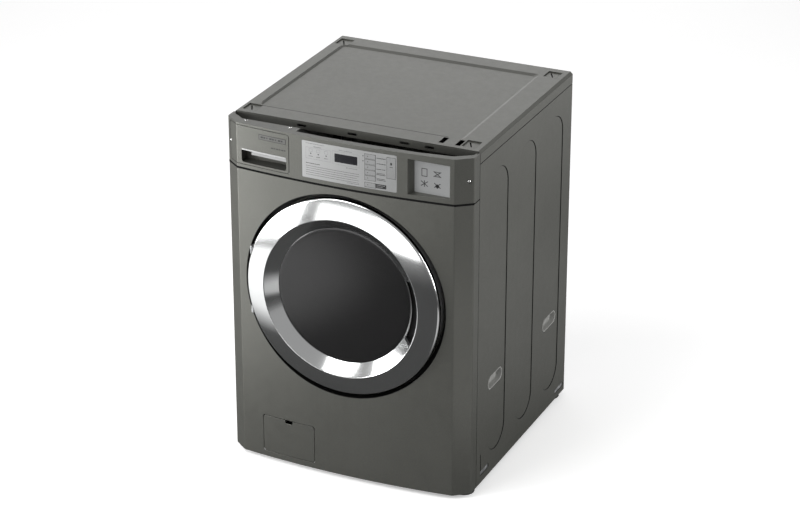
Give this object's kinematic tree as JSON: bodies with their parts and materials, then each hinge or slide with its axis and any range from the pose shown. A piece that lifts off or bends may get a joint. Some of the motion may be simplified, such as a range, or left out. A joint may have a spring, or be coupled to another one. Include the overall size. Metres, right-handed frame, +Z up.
{
  "type": "front-loading washing machine",
  "caption": "Front-loading commercial washing machine with a bowed dark grey front, a round chrome door, a detergent drawer and a key panel.",
  "frame": {"origin": "on the floor, at the middle of the footprint's bounding box", "axes": "+Z up, the front faces -Y, +X is to the right of someone who faces the front"},
  "size_m": [0.686, 0.767, 0.957],
  "materials": {
    "casing": "satin dark olive-grey metallic paint",
    "front_paint": "satin dark olive-grey metallic paint",
    "panel_plastic": "moulded plastic painted in the casing colour, satin",
    "chrome_ring": "bright mirror chrome",
    "smoked_window": "dark smoked, glossy",
    "clear_glass": "clear pressed glass",
    "black_plastic": "fine-grained black",
    "grey_plastic": "mid-grey moulded",
    "white_plastic": "white moulded",
    "tub_plastic": "pale grey, fine-grained",
    "overlay_film": null,
    "display": "black display window",
    "key_silver": "light silver, satin",
    "coin_grey": "light grey, satin",
    "rubber_grey": "soft grey moulded rubber",
    "rubber_black": "black moulded rubber",
    "stainless": "polished stainless, perforated",
    "galvanised": "galvanised sheet",
    "bright_steel": "machined steel",
    "cast_weight": "rough grey casting",
    "cast_aluminium": "die-cast",
    "copper_winding": "lacquered copper windings on laminated steel",
    "screw_steel": "plated, bright"
  },
  "bodies": {
    "casing": {"base_frame": "galvanised", "left_side_panel": "casing", "right_side_panel": "casing", "rear_panel": "galvanised", "rear_service_cover": "galvanised", "top_plate": "casing", "front_panel": "front_paint", "control_panel": "panel_plastic", "control_overlay": "overlay_film", "display_window": "display", "coin_plate": "coin_grey", "control_board": "white_plastic", "dispenser_housing": "grey_plastic", "water_valves": "white_plastic", "drain_pump": "white_plastic", "drain_hose": "grey_plastic", "sump_hose": "rubber_black", "power_inlet": "black_plastic", "door_lock": "white_plastic", "door_hinge_bracket": "galvanised", "door_hinge_pins": "bright_steel", "cabinet_braces": "galvanised", "damper_cylinders": "black_plastic", "cabinet_screws": "screw_steel", "door_gasket": "rubber_grey"},
    "door": {"door_ring": "chrome_ring", "door_inner_frame": "grey_plastic", "door_window": "smoked_window", "door_glass": "clear_glass", "door_handle": "black_plastic", "door_hinge_arm": "galvanised"},
    "latch": {"door_latch_hook": "black_plastic"},
    "tub": {"tub_front": "tub_plastic", "tub_rear": "tub_plastic", "counterweights": "cast_weight", "bearings": "bright_steel", "stator": "copper_winding", "damper_rods": "bright_steel", "suspension_springs": "bright_steel"},
    "drum": {"drum_shell": "stainless", "drum_back": "stainless", "drum_lifters": "white_plastic", "drum_spider": "cast_aluminium", "drum_shaft": "bright_steel", "motor_rotor": "galvanised"},
    "drawer": {"drawer_tray": "white_plastic", "drawer_front": "panel_plastic"},
    "access": {"access_door": "front_paint"},
    "filter": {"filter_cap": "black_plastic"},
    "program_key_1": {"program_key_1": "key_silver"},
    "program_key_2": {"program_key_2": "key_silver"},
    "program_key_3": {"program_key_3": "key_silver"},
    "program_key_4": {"program_key_4": "key_silver"},
    "program_key_5": {"program_key_5": "key_silver"},
    "select_key": {"select_key": "key_silver"},
    "start_key": {"start_key": "key_silver"},
    "foot_front_left": {"foot_front_left": "rubber_black"},
    "foot_front_right": {"foot_front_right": "rubber_black"},
    "foot_rear_left": {"foot_rear_left": "rubber_black"},
    "foot_rear_right": {"foot_rear_right": "rubber_black"}
  },
  "joints": [
    {"name": "door_swing", "type": "hinge", "parent": "casing", "child": "door", "pos_m": [-0.26, -0.362, 0.528], "axis": [0, 0, -1], "range_deg": [0, 150]},
    {"name": "latch_pivot", "type": "hinge", "parent": "door", "child": "latch", "pos_m": [0.241, -0.3345, 0.528], "axis": [0, 0, -1], "range_deg": [0, 8], "stiffness_Nm_per_rad": 2},
    {"name": "tub_float", "type": "slide", "parent": "casing", "child": "tub", "axis": [0, 0, 1], "range_m": [-0.012, 0.012], "stiffness_N_per_m": 22000, "springref_m": 0.02129, "deforming": ["suspension_springs", "sump_hose", "door_gasket"]},
    {"name": "drum_spin", "type": "hinge", "parent": "tub", "child": "drum", "pos_m": [0, 0, 0.528], "axis": [0, 1, 0], "continuous": true},
    {"name": "drawer_slide", "type": "slide", "parent": "casing", "child": "drawer", "axis": [0, -1, 0], "range_m": [0, 0.26]},
    {"name": "access_door_swing", "type": "hinge", "parent": "casing", "child": "access", "pos_m": [-0.163, -0.35845, 0.035], "axis": [0.9979, -0.0654, 0], "range_deg": [0, 95]},
    {"name": "filter_cap_turn", "type": "hinge", "parent": "casing", "child": "filter", "pos_m": [-0.163, -0.3255, 0.084], "axis": [0, -1, 0], "range_deg": [0, 270]},
    {"name": "program_key_1_press", "type": "slide", "parent": "casing", "child": "program_key_1", "axis": [0, 1, 0], "range_m": [0, 0.0008], "stiffness_N_per_m": 600},
    {"name": "program_key_2_press", "type": "slide", "parent": "casing", "child": "program_key_2", "axis": [0, 1, 0], "range_m": [0, 0.0008], "stiffness_N_per_m": 600},
    {"name": "program_key_3_press", "type": "slide", "parent": "casing", "child": "program_key_3", "axis": [0, 1, 0], "range_m": [0, 0.0008], "stiffness_N_per_m": 600},
    {"name": "program_key_4_press", "type": "slide", "parent": "casing", "child": "program_key_4", "axis": [0, 1, 0], "range_m": [0, 0.0008], "stiffness_N_per_m": 600},
    {"name": "program_key_5_press", "type": "slide", "parent": "casing", "child": "program_key_5", "axis": [0, 1, 0], "range_m": [0, 0.0008], "stiffness_N_per_m": 600},
    {"name": "select_key_press", "type": "slide", "parent": "casing", "child": "select_key", "axis": [0, 1, 0], "range_m": [0, 0.0008], "stiffness_N_per_m": 600},
    {"name": "start_key_press", "type": "slide", "parent": "casing", "child": "start_key", "axis": [0, 1, 0], "range_m": [0, 0.0008], "stiffness_N_per_m": 600},
    {"name": "foot_front_left_screw", "type": "slide", "parent": "casing", "child": "foot_front_left", "axis": [0, 0, -1], "range_m": [0, 0.02]},
    {"name": "foot_front_right_screw", "type": "slide", "parent": "casing", "child": "foot_front_right", "axis": [0, 0, -1], "range_m": [0, 0.02]},
    {"name": "foot_rear_left_screw", "type": "slide", "parent": "casing", "child": "foot_rear_left", "axis": [0, 0, -1], "range_m": [0, 0.02]},
    {"name": "foot_rear_right_screw", "type": "slide", "parent": "casing", "child": "foot_rear_right", "axis": [0, 0, -1], "range_m": [0, 0.02]}
  ]
}
